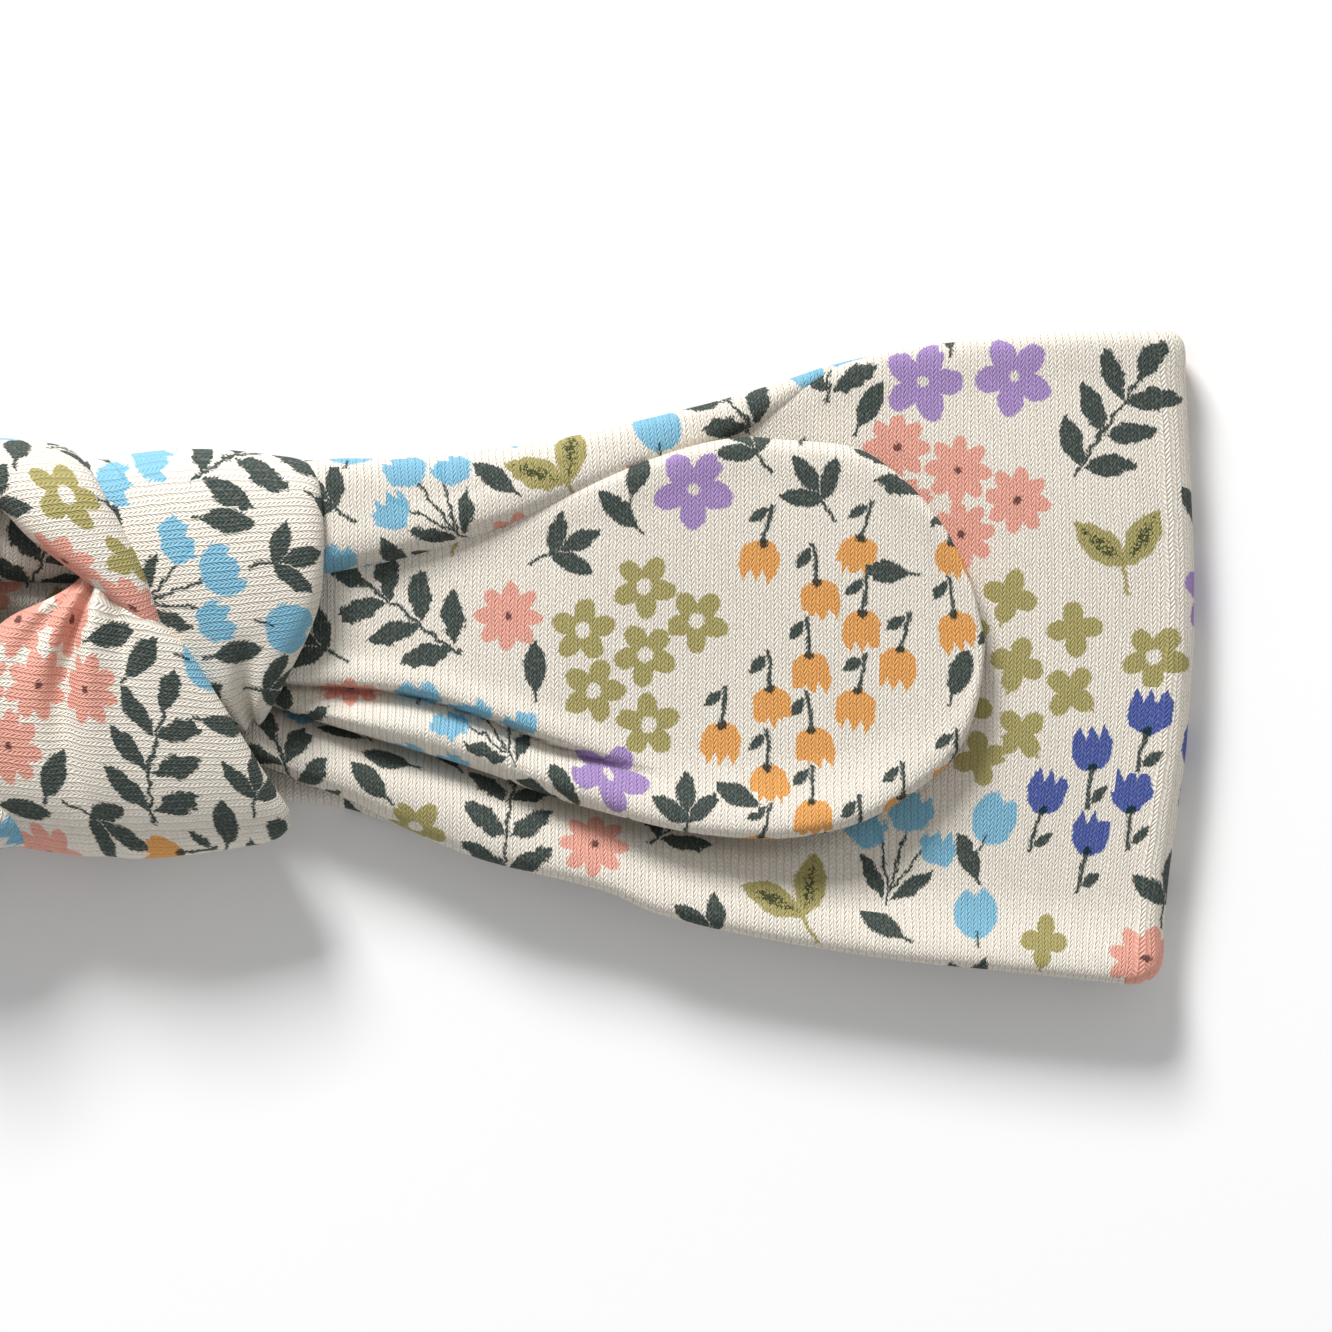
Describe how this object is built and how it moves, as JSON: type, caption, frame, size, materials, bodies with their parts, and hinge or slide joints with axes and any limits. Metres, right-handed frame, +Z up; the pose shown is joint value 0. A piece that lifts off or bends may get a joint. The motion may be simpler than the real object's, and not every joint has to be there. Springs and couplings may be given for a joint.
{
  "type": "knotted headband",
  "caption": "Soft printed jersey headband, a wide two-ply loop tied in a knot at the front with rounded ears, lying flat.",
  "frame": {"origin": "on the table under the middle of the knot, with the loop folded flat", "axes": "+X along the band towards its right side fold, +Y across the band, +Z up out of the table"},
  "size_m": [0.2078, 0.0572, 0.0165],
  "materials": {
    "printed_jersey": "matte",
    "sewing_thread": "matte"
  },
  "bodies": {
    "back_centre": {"back_centre_face": "printed_jersey", "back_centre_lining": "printed_jersey", "back_centre_allowance": "printed_jersey", "back_centre_stitching": "sewing_thread"},
    "right_back": {"right_back_face": "printed_jersey", "right_back_lining": "printed_jersey", "right_back_allowance": "printed_jersey", "right_back_stitching": "sewing_thread", "right_back_crease": "printed_jersey", "right_fold_face": "printed_jersey", "right_fold_lining": "printed_jersey"},
    "left_back": {"left_back_face": "printed_jersey", "left_back_lining": "printed_jersey", "left_back_allowance": "printed_jersey", "left_back_stitching": "sewing_thread", "left_back_crease": "printed_jersey", "left_fold_face": "printed_jersey", "left_fold_lining": "printed_jersey"},
    "right_front": {"right_front_face": "printed_jersey", "right_front_lining": "printed_jersey", "right_front_allowance": "printed_jersey", "right_front_stitching": "sewing_thread", "right_front_crease": "printed_jersey", "right_front_pleat": "printed_jersey"},
    "left_front": {"left_front_face": "printed_jersey", "left_front_lining": "printed_jersey", "left_front_allowance": "printed_jersey", "left_front_stitching": "sewing_thread", "left_front_crease": "printed_jersey", "left_front_pleat": "printed_jersey"},
    "knot": {"knot_right_wrap": "printed_jersey", "knot_left_wrap": "printed_jersey", "knot_lower_lobe": "printed_jersey", "knot_upper_lobe": "printed_jersey", "knot_right_tail_strand": "printed_jersey", "knot_left_tail_strand": "printed_jersey", "knot_right_band_strand": "printed_jersey", "knot_left_band_strand": "printed_jersey", "knot_core": "printed_jersey"},
    "right_ear": {"right_ear_face": "printed_jersey", "right_ear_lining": "printed_jersey", "right_ear_allowance": "printed_jersey", "right_ear_stitching": "sewing_thread", "right_ear_crease": "printed_jersey"},
    "left_ear": {"left_ear_face": "printed_jersey", "left_ear_lining": "printed_jersey", "left_ear_allowance": "printed_jersey", "left_ear_stitching": "sewing_thread", "left_ear_crease": "printed_jersey"}
  },
  "joints": [
    {"name": "right_back_hinge", "type": "hinge", "parent": "back_centre", "child": "right_back", "pos_m": [0.027, 0, 0.001], "axis": [0, -1, 0], "range_deg": [0, 60]},
    {"name": "right_fold_hinge", "type": "hinge", "parent": "right_back", "child": "right_front", "pos_m": [0.101, 0, 0.0029], "axis": [0, 1, 0], "range_deg": [0, 120]},
    {"name": "knot_right_hinge", "type": "hinge", "parent": "right_front", "child": "knot", "pos_m": [0.027, 0, 0.0048], "axis": [0, -1, 0], "range_deg": [0, 60]},
    {"name": "left_back_hinge", "type": "hinge", "parent": "back_centre", "child": "left_back", "pos_m": [-0.027, 0, 0.001], "axis": [0, 1, 0], "range_deg": [0, 60]},
    {"name": "left_fold_hinge", "type": "hinge", "parent": "left_back", "child": "left_front", "pos_m": [-0.101, 0, 0.0029], "axis": [0, -1, 0], "range_deg": [0, 120]},
    {"name": "right_ear_hinge", "type": "hinge", "parent": "knot", "child": "right_ear", "pos_m": [0.03, 0, 0.008], "axis": [0, -1, 0], "range_deg": [0, 90]},
    {"name": "left_ear_hinge", "type": "hinge", "parent": "knot", "child": "left_ear", "pos_m": [-0.03, 0, 0.008], "axis": [0, 1, 0], "range_deg": [0, 90]}
  ],
  "couplings": [
    {"joint": "right_fold_hinge", "follows": "right_back_hinge", "ratio": 2},
    {"joint": "knot_right_hinge", "follows": "right_back_hinge", "ratio": 1},
    {"joint": "left_back_hinge", "follows": "right_back_hinge", "ratio": 1},
    {"joint": "left_fold_hinge", "follows": "right_back_hinge", "ratio": 2}
  ]
}
